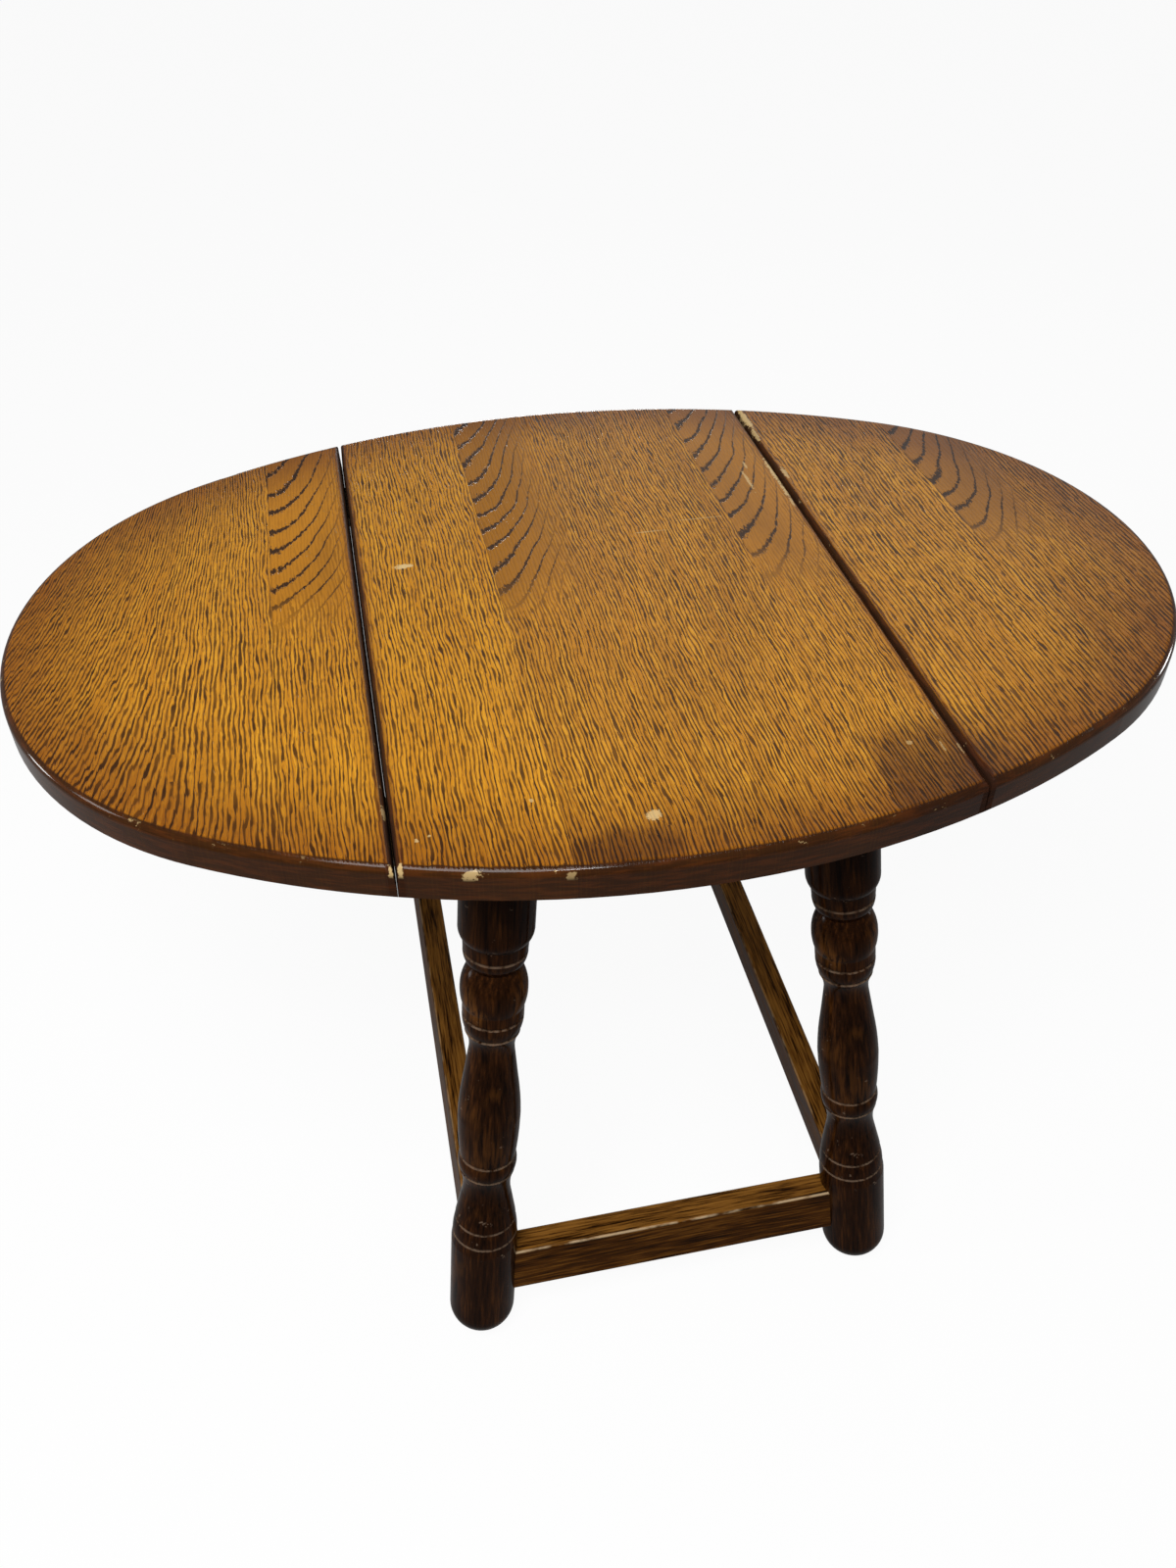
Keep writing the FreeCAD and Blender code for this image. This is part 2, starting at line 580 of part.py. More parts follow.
def build():
    os.makedirs("parts", exist_ok=True)
    left_leaf, centre_board, right_leaf = top_boards()
    leaves = {"left": left_leaf, "right": right_leaf}

    turning = leg_turning()
    corners = {(e, s): place_leg(turning, SIDES[s], ENDS[e]) for e in ENDS for s in SIDES}
    legs = list(corners.values())

    mortises = []
    rail_reach = leg_axis((UNDERSIDE + RAIL_BOTTOM) / 2)
    stretcher_low = STRETCHER_MID - STRETCHER_DEPTH / 2
    stretcher_high = STRETCHER_MID + STRETCHER_DEPTH / 2
    stretcher_reach = leg_axis(STRETCHER_MID)
    rails = {}
    for names, make, axis in ((ENDS, bar_across, 0), (SIDES, bar_along, 1)):
        for name, which in names.items():
            rail, slot = jointed_bar(make, which, RAIL_BOTTOM, UNDERSIDE, RAIL_THICKNESS, False,
                                     rail_reach[axis], legs)
            rails[name] = rail
            mortises.append(slot)
            bar, slot = jointed_bar(make, which, stretcher_low, stretcher_high, STRETCHER_THICKNESS, True,
                                    stretcher_reach[axis], legs)
            mortises.append(slot)
            save("stretcher_" + name, [bar])
    for (end, side), leg in corners.items():
        save("leg_" + end + "_" + side, [leg.cut(mortises)])

    board_holes = []
    cleat_screws = []
    for names, make in ((ENDS, cleat_across), (SIDES, cleat_along)):
        for name, which in names.items():
            cleat, places = make(which)
            pairs = [screw(place, Vec(0, 0, 1), CLEAT_SIZE, CLEAT_SCREW_BITE) for place in places]
            plain = [body for slotted, body in pairs]
            cleat_screws += [slotted for slotted, body in pairs]
            board_holes += plain
            save("cleat_" + name, [cleat.cut(plain)])
    save("cleat_screws", cleat_screws)

    block_screws = []
    for name, side in SIDES.items():
        flaps, screws, holes, pins = leaf_hinges(side)
        board_holes += holes[False]
        save("leaf_" + name, [leaves[name].cut(holes[True])])
        save("hinge_board_plates_" + name, flaps[False])
        save("hinge_leaf_plates_" + name, flaps[True])
        save("hinge_board_screws_" + name, screws[False])
        save("hinge_leaf_screws_" + name, screws[True])
        save("hinge_pins_" + name, pins)

        pivots = wing_pins(side)
        board_holes += pivots
        pairs = pivot_screws(side)
        plain = [body for slotted, body in pairs]
        block_screws += [slotted for slotted, body in pairs]
        save("wing_" + name, [wing(side)])
        save("wing_pins_" + name, pivots)
        save("wing_block_" + name, [pivot_block(side).cut(pivots + plain)])
        rails[name] = rails[name].cut(plain)
    save("wing_block_screws", block_screws)
    for name, rail in rails.items():
        save("rail_" + name, [rail])
    save("centre_board", [centre_board.cut(board_holes)])


build()
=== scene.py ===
"""Oval drop-leaf table in lacquered oak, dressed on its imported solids."""

import logging
import math
from dataclasses import dataclass
from enum import Enum
from typing import Any, Dict, Optional, Sequence, Tuple, Union

import bpy
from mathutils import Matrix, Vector

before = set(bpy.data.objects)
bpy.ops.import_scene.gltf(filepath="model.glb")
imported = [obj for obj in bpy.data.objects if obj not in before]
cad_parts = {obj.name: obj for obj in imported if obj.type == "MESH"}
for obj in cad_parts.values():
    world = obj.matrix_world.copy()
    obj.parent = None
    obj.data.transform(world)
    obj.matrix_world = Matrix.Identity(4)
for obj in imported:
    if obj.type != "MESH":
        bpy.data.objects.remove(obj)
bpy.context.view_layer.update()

LOG = logging.getLogger("oval_table")
Colour = Tuple[float, float, float]
Place = Tuple[float, float, float]
Span = Tuple[float, float]
Operand = Union["Wave", float]
WHITE: Colour = (1.0, 1.0, 1.0)
LACQUER_IOR = 1.5
GRAIN_DEPTH = 0.0005


class Grain(Enum):
    """Axis along which the fibres of a plain piece run."""

    ALONG_X = 0
    ALONG_Y = 1


class LightKind(Enum):
    """Kinds of light in the studio."""

    SOFT = "AREA"
    PARALLEL = "SUN"


@dataclass(frozen=True)
class Speckle:
    """Soft noise: features in a metre, finer layers, their strength, and stretch along the fibres."""

    scale: float
    detail: float = 2.0
    rough: float = 0.5
    stretch: float = 1.0


class Wave:
    """A shader value whose arithmetic adds Math nodes."""

    def __init__(self, canvas: "Canvas", socket: Any) -> None:
        """Keep the canvas that owns the nodes and the wrapped socket."""
        self.canvas = canvas
        self.socket = socket

    def _math(self, operation: str, *values: Operand) -> "Wave":
        """Add one Math node.

        Args:
            operation: Name of the Math node's operation.
            values: Waves or plain numbers for its inputs.

        Returns:
            The node's result.
        """
        return self.canvas.node("ShaderNodeMath", {"operation": operation}, dict(enumerate(values)))

    def __add__(self, other: Operand) -> "Wave":
        """Add a value."""
        return self._math("ADD", self, other)

    __radd__ = __add__

    def __sub__(self, other: Operand) -> "Wave":
        """Take a value away."""
        return self._math("SUBTRACT", self, other)

    def __rsub__(self, other: Operand) -> "Wave":
        """Take this value away from another."""
        return self._math("SUBTRACT", other, self)

    def __mul__(self, other: Operand) -> "Wave":
        """Multiply by a value."""
        return self._math("MULTIPLY", self, other)

    __rmul__ = __mul__

    def __truediv__(self, other: Operand) -> "Wave":
        """Divide by a value."""
        return self._math("DIVIDE", self, other)

    def __rtruediv__(self, other: Operand) -> "Wave":
        """Divide another value by this one."""
        return self._math("DIVIDE", other, self)

    def size(self) -> "Wave":
        """Give the absolute value."""
        return self._math("ABSOLUTE", self)

    def whole(self) -> "Wave":
        """Give the whole number below the value."""
        return self._math("FLOOR", self)

    def part(self) -> "Wave":
        """Give the fraction above the whole number below."""
        return self._math("FRACT", self)

    def root(self) -> "Wave":
        """Give the square root."""
        return self._math("SQRT", self)

    def larger(self, other: Operand) -> "Wave":
        """Give the larger of two values."""
        return self._math("MAXIMUM", self, other)

    def above(self, other: Operand) -> "Wave":
        """Give 1 where the value is above another, and 0 elsewhere."""
        return self._math("GREATER_THAN", self, other)

    def rise(self, low: float, high: float) -> "Wave":
        """Rise smoothly from 0 to 1 between two values.

        Args:
            low: Value at which the result is 0.
            high: Value at which the result is 1.

        Returns:
            The smoothed result.
        """
        settings = {"interpolation_type": "SMOOTHSTEP"}
        return self.canvas.node("ShaderNodeMapRange", settings, {0: self, 1: low, 2: high, 3: 0.0, 4: 1.0})


class Canvas:
    """A node tree, and the one method that adds nodes to it."""

    def __init__(self, tree: bpy.types.NodeTree) -> None:
        """Keep the tree."""
        self.tree = tree

    def node(self, kind: str, settings: Optional[Dict[str, Any]] = None,
             sockets: Optional[Dict[Any, Any]] = None, result: Any = 0) -> Wave:
        """Add one node.

        Args:
            kind: Type of the node.
            settings: Properties set first; "stops" fills a colour ramp.
            sockets: Values or waves for its inputs, by name or index.
            result: Name or index of the output to give back.

        Returns:
            The chosen output.
        """
        made = self.tree.nodes.new(kind)
        for key, value in (settings or {}).items():
            if key == "stops":
                self._fill_ramp(made.color_ramp, value)
            else:
                setattr(made, key, value)
        for key, value in (sockets or {}).items():
            self.feed(made.inputs[key], value)
        return Wave(self, made.outputs[result])

    @staticmethod
    def _fill_ramp(ramp: bpy.types.ColorRamp, stops: Sequence[Tuple[float, Colour]]) -> None:
        """Set a ramp's stops.

        Args:
            ramp: Colour ramp to fill.
            stops: Place and colour of each stop.
        """
        while len(ramp.elements) < len(stops):
            ramp.elements.new(1.0)
        for element, (place, colour) in zip(ramp.elements, stops):
            element.position = place
            element.color = (*colour, 1.0)

    def feed(self, socket: Any, value: Any) -> None:
        """Link a wave to a socket, or set a plain value on it.

        Args:
            socket: Input to feed.
            value: Wave, number, colour or vector.
        """
        if isinstance(value, Wave):
            self.tree.links.new(value.socket, socket)
        elif socket.type == "RGBA":
            socket.default_value = (*value, 1.0)
        else:
            socket.default_value = value

    def place(self) -> Wave:
        """Give the point on the piece, in metres."""
        return self.node("ShaderNodeTexCoord", result="Object")

    def axes(self, point: Wave) -> Tuple[Wave, ...]:
        """Split a point into its X, Y and Z."""
        split = self.node("ShaderNodeSeparateXYZ", None, {0: point}).socket.node
        return tuple(Wave(self, output) for output in split.outputs)

    def point(self, x: Operand, y: Operand, z: Operand) -> Wave:
        """Join three values into a vector."""
        return self.node("ShaderNodeCombineXYZ", None, {0: x, 1: y, 2: z})

    def vector(self, operation: str, first: Any, second: Any, result: Any = 0) -> Wave:
        """Work on two vectors.

        Args:
            operation: Name of the Vector Math node's operation.
            first: First vector.
            second: Second vector.
            result: Name or index of the output to give back.

        Returns:
            The node's result.
        """
        return self.node("ShaderNodeVectorMath", {"operation": operation}, {0: first, 1: second}, result)

    def noise(self, point: Wave, speckle: Speckle) -> Wave:
        """Give soft noise between 0 and 1.

        Args:
            point: Where it is read.
            speckle: Its settings; the stretch is already in the point.

        Returns:
            The noise value.
        """
        sockets = {"Vector": point, "Scale": speckle.scale, "Detail": speckle.detail,
                   "Roughness": speckle.rough}
        return self.node("ShaderNodeTexNoise", {"noise_dimensions": "3D"}, sockets, "Fac")

    def mix(self, factor: Operand, first: Any, second: Any, blend: str = "MIX") -> Wave:
        """Blend two colours.

        Args:
            factor: Share of the second colour.
            first: Colour at factor 0.
            second: Colour at factor 1.
            blend: How they blend.

        Returns:
            The blended colour.
        """
        settings = {"data_type": "RGBA", "blend_type": blend, "clamp_factor": True}
        return self.node("ShaderNodeMix", settings, {0: factor, 6: first, 7: second}, 2)

    def ramp(self, value: Wave, places: Sequence[float], colours: Sequence[Colour]) -> Wave:
        """Colour a value by a ramp with one colour at each place."""
        return self.node("ShaderNodeValToRGB", {"stops": list(zip(places, colours))}, {0: value})

    def seen(self, share: float) -> Wave:
        """Give 1 to the camera's rays and a share to mirrored and refracted ones.

        Args:
            share: What mirrored and refracted rays get.

        Returns:
            The factor for a white background.
        """
        factor = self.node("ShaderNodeLightPath", result="Is Camera Ray")
        for ray in ("Is Glossy Ray", "Is Transmission Ray"):
            factor = factor.larger(self.node("ShaderNodeLightPath", result=ray) * share)
        return factor


class Finish(Canvas):
    """A new material and its main shader."""

    def __init__(self, name: str) -> None:
        """Start a material under a name."""
        self.material = bpy.data.materials.new(name)
        self.material.use_nodes = True
        super().__init__(self.material.node_tree)
        self.shader = self.tree.nodes["Principled BSDF"]
        self.set("IOR", LACQUER_IOR)

    def set(self, name: str, value: Any) -> None:
        """Feed one of the shader's own sockets."""
        self.feed(self.shader.inputs[name], value)

    def bump(self, height: Wave, strength: float, depth: float = GRAIN_DEPTH) -> None:
        """Drive the shader's normal from a height.

        Args:
            height: Height value.
            strength: Share of the effect.
            depth: Height of a full step, in metres.
        """
        sockets = {"Height": height, "Strength": strength, "Distance": depth}
        self.set("Normal", self.node("ShaderNodeBump", None, sockets))


@dataclass(frozen=True)
class Spot:
    """An oval place on the top: its middle, half sizes and strength."""

    x: float
    y: float
    half_x: float
    half_y: float
    strength: float

    def reach(self, x: Wave, y: Wave) -> Wave:
        """Give the distance from the middle, which is 1 on the oval's rim."""
        across = (x - self.x) / self.half_x
        along = (y - self.y) / self.half_y
        return (across * across + along * along).root()


@dataclass(frozen=True)
class Stain(Spot):
    """A darker patch that ends at a seam on its left."""

    left: float


@dataclass(frozen=True)
class Strips:
    """Glued strips of the top, from left to right, and what differs between them."""

    first_edge: float = -0.385
    seams: Tuple[float, ...] = (-0.217, -0.071, 0.105, 0.268)
    shades: Tuple[float, ...] = (0.02, 0.17, -0.04, -0.10, -0.06)
    glue_width: float = 0.0011
    glue_share: float = 0.45
    slide: float = 0.731
    wander: Speckle = Speckle(7.0, 3.0)
    wander_across: float = 1.3
    wander_step: float = 3.7
    tone: Speckle = Speckle(1.9, 0.0)
    tone_step: Place = (3.17, 1.3, 0.5)
    tone_share: float = 0.5

    def sort(self, canvas: Canvas, x: Wave) -> Tuple[Wave, Wave, Wave]:
        """Find the strip at a place.

        Args:
            canvas: Material to draw in.
            x: Place across the strips.

        Returns:
            The strip's number, the distance from its left seam, and its shade.
        """
        number = canvas.node("ShaderNodeValue")
        number.socket.default_value = 0.0
        start, shade = number + self.first_edge, number + self.shades[0]
        edges = (self.first_edge, *self.seams)
        for index, seam in enumerate(self.seams):
            past = (x - seam).above(0.0)
            number = number + past
            start = start + past * (seam - edges[index])
            shade = shade + past * (self.shades[index + 1] - self.shades[index])
        return number, x - start, shade


@dataclass(frozen=True)
class Arches:
    """Arched figure along the left seam of every strip but the first."""

    curve: float = 34.0
    lean: float = 0.25
    sway: float = 0.075
    pitch: float = 0.026
    pitch_growth: float = 0.05
    crest: float = 0.35
    width: Span = (0.034, 0.068)
    start: Span = (-0.055, 0.030)
    start_sway: float = 0.10
    first_strip: float = 0.5
    torn: Speckle = Speckle(520.0, 2.0, 0.7, 0.35)
    torn_share: float = 0.40
    thickness: float = 0.55
    thinning: float = 17.0
    line: Span = (0.045, 0.110)

    def draw(self, canvas: Canvas, x: Wave, y: Wave, number: Wave, inside: Wave,
             wander: Wave) -> Tuple[Wave, Wave]:
        """Draw the arches.

        Args:
            canvas: Material to draw in.
            x: Place across the strips.
            y: Place along the fibres.
            number: Number of the strip.
            inside: Distance from the strip's left seam.
            wander: Slow noise about 0.

        Returns:
            Where the figure is arched, and its dark lines.
        """
        arch = y - inside * inside * self.curve - inside * self.lean + wander * self.sway
        phase = arch / (self.pitch + inside * self.pitch_growth)
        fold = (phase.part() - self.crest).size()
        arched = (1.0 - inside.rise(*self.width)) * (y + wander * self.start_sway).rise(*self.start)
        arched = arched * number.above(self.first_strip)
        torn = canvas.noise(canvas.point(x, y * self.torn.stretch, number), self.torn)
        thick = fold * (inside * self.thinning + self.thickness)
        lines = 1.0 - (thick + (torn - 0.5) * self.torn_share).rise(*self.line)
        return arched, lines * arched


@dataclass(frozen=True)
class Rows:
    """Rows of open pores along the fibres, broken into dashes."""

    pitch: float = 0.0024
    right_extra: float = 0.28
    sway: float = 0.012
    drift: float = 0.012
    fan: float = 0.30
    fan_reach: float = 0.16
    wobble: Speckle = Speckle(75.0, 1.0, 0.5, 0.55)
    wobble_across: float = 4.0
    wobble_size: float = 0.0030
    shuffle: Speckle = Speckle(1.0, 0.0)
    shuffle_step: Place = (330.0, 5.0, 3.0)
    shuffle_share: float = 2.2
    slant_pitch: float = 36.0
    slant: float = 0.20
    breaks: Speckle = Speckle(1.0, 2.0, 0.6)
    break_step: Place = (5.37, 66.0, 3.1)
    break_share: float = 1.25
    strength: Speckle = Speckle(1.0, 1.0)
    strength_step: Span = (2.71, 9.0)
    strength_share: float = 0.35
    line: Span = (0.22, 0.52)
    fine: Speckle = Speckle(2400.0, 0.0, 0.5, 0.07)
    fine_shift: float = 5.0
    fine_span: Span = (0.58, 0.72)
    fine_share: float = 0.5
    tint: Speckle = Speckle(1.0, 1.0)
    tint_step: Place = (1.73, 34.0, 9.0)
    tint_span: Span = (0.25, 0.70)
    tint_share: float = 0.30
    least_depth: float = 0.66
    # Painted highlight on the strands between the pore rows
    painted_highlight_span: Span = (0.45, 0.90)
    painted_highlight_strength: Span = (0.35, 0.65)

    def number(self, canvas: Canvas, x: Wave, y: Wave, strip: Wave, lean: Wave, wander: Wave,
               fan_start: float, wide_start: float) -> Wave:
        """Count the rows across the top.

        Args:
            canvas: Material to draw in.
            x: Place across the strips.
            y: Place along the fibres.
            strip: Number of the strip.
            lean: Place along the fibres, moved on from strip to strip.
            wander: Slow noise about 0.
            fan_start: Place left of which the rows fan out.
            wide_start: Place right of which the rows are wider.

        Returns:
            The row's number, with the place in the row as its fraction.
        """
        sway = x + wander * self.sway
        point = canvas.point(x * self.wobble_across, y * self.wobble.stretch, strip)
        wobble = canvas.noise(point, self.wobble) - 0.5
        fan = (fan_start - x).rise(0.0, self.fan_reach) * self.fan
        pitch = (x - wide_start).above(0.0) * (self.pitch * self.right_extra) + self.pitch
        across, along, shift = self.shuffle_step
        shuffle = canvas.noise(canvas.point(sway * across, lean * along, strip + shift), self.shuffle)
        slant = (lean * self.slant_pitch + shuffle * self.shuffle_share).part() - 0.5
        return (sway + wobble * self.wobble_size + y * self.drift - fan * y) / pitch + slant * self.slant

    def draw(self, canvas: Canvas, x: Wave, rows: Wave, strip: Wave, lean: Wave,
             wander: Wave) -> Tuple[Wave, Wave, Wave]:
        """Draw the pores.

        Args:
            canvas: Material to draw in.
            x: Place across the strips.
            rows: Row numbers.
            strip: Number of the strip.
            lean: Place along the fibres, moved on from strip to strip.
            wander: Slow noise about 0.

        Returns:
            The pores, how dark each is, and the painted highlight between them.
        """
        row = rows.whole()
        aside = (rows.part() - 0.5).size() * 2.0
        across, along, skew = self.break_step
        breaks = canvas.noise(canvas.point(row * across, lean * along + row * skew, strip), self.breaks) - 0.5
        across, along = self.strength_step
        strength = canvas.noise(canvas.point(row * across, strip, lean * along), self.strength)
        even = strength - 0.5
        ticks = 1.0 - (aside - breaks * self.break_share - even * self.strength_share).rise(*self.line)
        point = canvas.point(x + wander * self.sway, lean * self.fine.stretch, strip + self.fine_shift)
        fine = canvas.noise(point, self.fine).rise(*self.fine_span)
        across, along, shift = self.tint_step
        tint = canvas.noise(canvas.point(row * across, lean * along, strip + shift), self.tint)
        depth = tint.rise(*self.tint_span) * self.tint_share + self.least_depth
        # Painted highlight on the strands between the pore rows
        painted_highlight = aside.rise(*self.painted_highlight_span) * strength.rise(*self.painted_highlight_strength)
        return ticks.larger(fine * self.fine_share), depth, painted_highlight


@dataclass(frozen=True)
class TopLacquer:
    """Glossy amber lacquer over open-grained oak, darkened towards the rim."""

    name: str = "top_lacquer"
    half_length: float = 0.381
    half_depth: float = 0.2665
    hinge_line: float = 0.161
    top_height: float = 0.450
    under_height: float = 0.428
    strips: Strips = Strips()
    arches: Arches = Arches()
    rows: Rows = Rows()
    # Figure
    deep: Colour = (0.325, 0.127, 0.007)
    middle: Colour = (0.485, 0.191, 0.009)
    pale: Colour = (0.600, 0.258, 0.013)
    body_stops: Place = (0.30, 0.50, 0.72)
    body_level: float = 0.29
    # Colour and strength of the painted highlight between the pore rows
    painted_highlight: Colour = (0.820, 0.410, 0.028)
    painted_highlight_share: float = 0.50
    pore: Colour = (0.036, 0.0130, 0.0022)
    pore_depth: Span = (0.0001, 0.0012)
    cloud: Speckle = Speckle(19.0, 3.0, 0.5, 0.25)
    cloud_share: float = 0.45
    arched_pores: float = 0.78
    arched_shade: float = 0.14
    # Darker zones
    # Colour of the painted shade beside the hinge gaps
    rim: Colour = (0.092, 0.0200, 0.0022)
    rim_tint: Colour = (0.23, 0.08, 0.10)
    rim_span: Span = (0.74, 1.03)
    rim_share: float = 0.66
    rim_wander: Speckle = Speckle(11.0, 3.0)
    rim_sway: float = 0.12
    # Painted shade beside the hinge gaps: distance span and strength of each band
    painted_gap_shades: Tuple[Tuple[Span, float], ...] = (((0.0, 0.013), 0.22), ((0.0034, 0.0062), 0.55))
    stain_tint: Colour = (0.20, 0.13, 0.20)
    stain_sway: float = 0.8
    stain_edge: Span = (0.55, 1.15)
    stains: Tuple[Stain, ...] = (
        Stain(-0.043, -0.251, 0.033, 0.016, 0.55, -0.071),
        Stain(0.140, -0.228, 0.050, 0.052, 0.62, 0.105),
    )
    # Edge and underside
    edge: Colour = (0.017, 0.0048, 0.0013)
    edge_warm: Colour = (0.050, 0.0120, 0.0020)
    edge_depth: Span = (0.00004, 0.0005)
    edge_share: float = 0.92
    streak: Speckle = Speckle(520.0, 3.0, 0.6, 0.10)
    streak_span: Span = (0.42, 0.66)
    under_deep: Colour = (0.075, 0.0300, 0.0105)
    under_pale: Colour = (0.185, 0.0850, 0.0330)
    under_rise: Span = (0.0002, 0.0014)
    bare: Speckle = Speckle(330.0, 3.0, 0.6, 0.05)
    bare_span: Span = (0.36, 0.64)
    # Wear
    worn: Colour = (0.64, 0.45, 0.20)
    rub: Speckle = Speckle(105.0, 4.0, 0.7)
    rub_span: Span = (0.63, 0.70)
    rub_share: float = 0.6
    arris_top: Span = (0.0004, 0.0016)
    arris_foot: Span = (0.0030, 0.0060)
    rag: Speckle = Speckle(430.0, 4.0, 0.72)
    rag_size: float = 2.8
    mark_depth: Span = (0.0050, 0.0075)
    mark_edge: Span = (0.72, 1.0)
    marks: Tuple[Spot, ...] = (
        Spot(-0.129, 0.047, 0.0062, 0.0030, 1.0),
        Spot(-0.024, -0.230, 0.0045, 0.0042, 0.75),
        Spot(0.045, 0.059, 0.0150, 0.0009, 0.40),
        Spot(0.086, 0.070, 0.0200, 0.0008, 0.32),
        Spot(0.140, 0.143, 0.0010, 0.0070, 0.70),
        Spot(0.135, 0.120, 0.0013, 0.0160, 0.70),
        Spot(0.1645, 0.222, 0.0024, 0.0200, 0.90),
        Spot(0.1640, 0.192, 0.0016, 0.0130, 0.70),
        Spot(0.1575, 0.128, 0.0024, 0.0230, 0.90),
        Spot(0.1573, 0.098, 0.0018, 0.0140, 0.80),
        Spot(0.1660, 0.124, 0.0018, 0.0100, 0.70),
        Spot(0.1565, 0.080, 0.0012, 0.0070, 0.65),
        Spot(-0.1632, -0.242, 0.0013, 0.0040, 0.80),
        Spot(-0.1582, -0.241, 0.0015, 0.0028, 0.75),
        Spot(-0.1629, -0.198, 0.0012, 0.0060, 0.50),
        Spot(-0.1480, -0.224, 0.0011, 0.0016, 0.65),
        Spot(-0.1413, -0.222, 0.0010, 0.0012, 0.60),
        Spot(-0.1235, -0.2515, 0.0050, 0.0014, 0.65),
        Spot(-0.0745, -0.2612, 0.0030, 0.0009, 0.45),
        Spot(-0.085, -0.205, 0.0012, 0.0014, 0.60),
        Spot(0.131, -0.200, 0.0020, 0.0022, 0.45),
        Spot(0.1555, -0.178, 0.0007, 0.0060, 0.40),
        Spot(0.1480, -0.207, 0.0008, 0.0050, 0.45),
        Spot(0.1570, -0.210, 0.0009, 0.0060, 0.35),
    )
    # Gloss
    specular: float = 0.16
    roughness: float = 0.17
    haze: Speckle = Speckle(9.0, 3.0)
    haze_across: float = 3.0
    haze_span: Span = (0.30, 0.75)
    haze_share: float = 0.10
    pore_haze: float = 0.12
    side_depth: Span = (0.0001, 0.0014)
    side_polish: float = 0.5
    gap_half: Span = (0.0038, 0.0050)
    gap_roughness: float = 0.9
    relief: float = 0.38

    def make(self) -> bpy.types.Material:
        """Build the material."""
        finish = Finish(self.name)
        x, y, z = finish.axes(finish.place())
        colour, pores = self._figure(finish, x, y, z)
        colour = self._shade(finish, colour, x, y, z)
        finish.set("Base Color", self._wear(finish, colour, x, y, z))
        finish.set("Roughness", self._gloss(finish, pores, x, y, z))
        finish.set("Specular IOR Level", self.specular)
        finish.bump(1.0 - pores, self.relief)
        return finish.material

    def _sunk(self, z: Wave, depths: Span) -> Wave:
        """Rise from 0 to 1 between two depths under the top face."""
        return 1.0 - z.rise(self.top_height - depths[1], self.top_height - depths[0])

    def _off_gap(self, x: Wave) -> Wave:
        """Give the distance from the nearer hinge line."""
        return (x.size() - self.hinge_line).size()

    def _figure(self, finish: Finish, x: Wave, y: Wave, z: Wave) -> Tuple[Wave, Wave]:
        """Draw the strips, their arched grain and the open pores.

        Args:
            finish: Material to draw in.
            x: Place across the strips.
            y: Place along the fibres.
            z: Height.

        Returns:
            The colour and the pore mask.
        """
        strips, rows = self.strips, self.rows
        strip, inside, shade = strips.sort(finish, x)
        point = finish.point(x * strips.wander_across, y, strip * strips.wander_step)
        wander = finish.noise(point, strips.wander) - 0.5
        lean = y + strip * strips.slide
        arched, lines = self.arches.draw(finish, x, y, strip, inside, wander)
        numbers = rows.number(finish, x, y, strip, lean, wander, strips.seams[0], self.hinge_line)
        ticks, depth, painted_highlight = rows.draw(finish, x, numbers, strip, lean, wander)
        pores = (ticks * (1.0 - arched * self.arched_pores)).larger(lines)
        pores = pores * (1.0 - self._sunk(z, self.pore_depth))
        cloud = finish.noise(finish.point(x, y * self.cloud.stretch, strip), self.cloud)
        first, second, third = strips.tone_step
        tone = finish.noise(finish.point(strip * first, strip * second, third), strips.tone)
        body = cloud * self.cloud_share + (tone - 0.5) * strips.tone_share + shade + self.body_level
        body = body - arched * self.arched_shade
        colour = finish.ramp(body, self.body_stops, (self.deep, self.middle, self.pale))
        # Painted highlight between the pore rows, left out in the arched figure
        colour = finish.mix(painted_highlight * (1.0 - arched) * self.painted_highlight_share, colour, self.painted_highlight)
        glue = (1.0 - inside.rise(0.0, strips.glue_width)) * strips.glue_share
        return finish.mix((pores * depth.larger(lines)).larger(glue), colour, self.pore), pores

    def _shade(self, finish: Finish, colour: Wave, x: Wave, y: Wave, z: Wave) -> Wave:
        """Darken the rim and the stains, lay painted shade beside the hinge gaps, darken the edge, and leave
        the underside bare.

        Args:
            finish: Material to draw in.
            colour: Colour of the figure.
            x: Place across the boards.
            y: Place along the fibres.
            z: Height.

        Returns:
            The shaded colour.
        """
        across, along = x / self.half_length, y / self.half_depth
        out = (across * across + along * along).root()
        wander = finish.noise(finish.point(x, y, z), self.rim_wander) - 0.5
        rim_darkening = (out + wander * self.rim_sway).rise(*self.rim_span) * self.rim_share
        colour = finish.mix(rim_darkening, colour, self.rim_tint, "MULTIPLY")
        # Painted shade beside the hinge gaps
        off_gap = self._off_gap(x)
        for span, share in self.painted_gap_shades:
            colour = finish.mix((1.0 - off_gap.rise(*span)) * share, colour, self.rim)
        for stain in self.stains:
            patch = 1.0 - (stain.reach(x, y) + wander * self.stain_sway).rise(*self.stain_edge)
            patch = patch * (x - stain.left).above(0.0) * stain.strength
            colour = finish.mix(patch, colour, self.stain_tint, "MULTIPLY")
        stretch = self.streak.stretch
        streak = finish.noise(finish.point(x * stretch, y * stretch, z), self.streak)
        turned = finish.mix(streak.rise(*self.streak_span), self.edge, self.edge_warm)
        colour = finish.mix(self._sunk(z, self.edge_depth) * self.edge_share, colour, turned)
        bare = finish.noise(finish.point(x, y * self.bare.stretch, 0.0), self.bare)
        plain = finish.mix(bare.rise(*self.bare_span), self.under_deep, self.under_pale)
        low, high = self.under_rise
        return finish.mix(1.0 - z.rise(self.under_height + low, self.under_height + high), colour, plain)

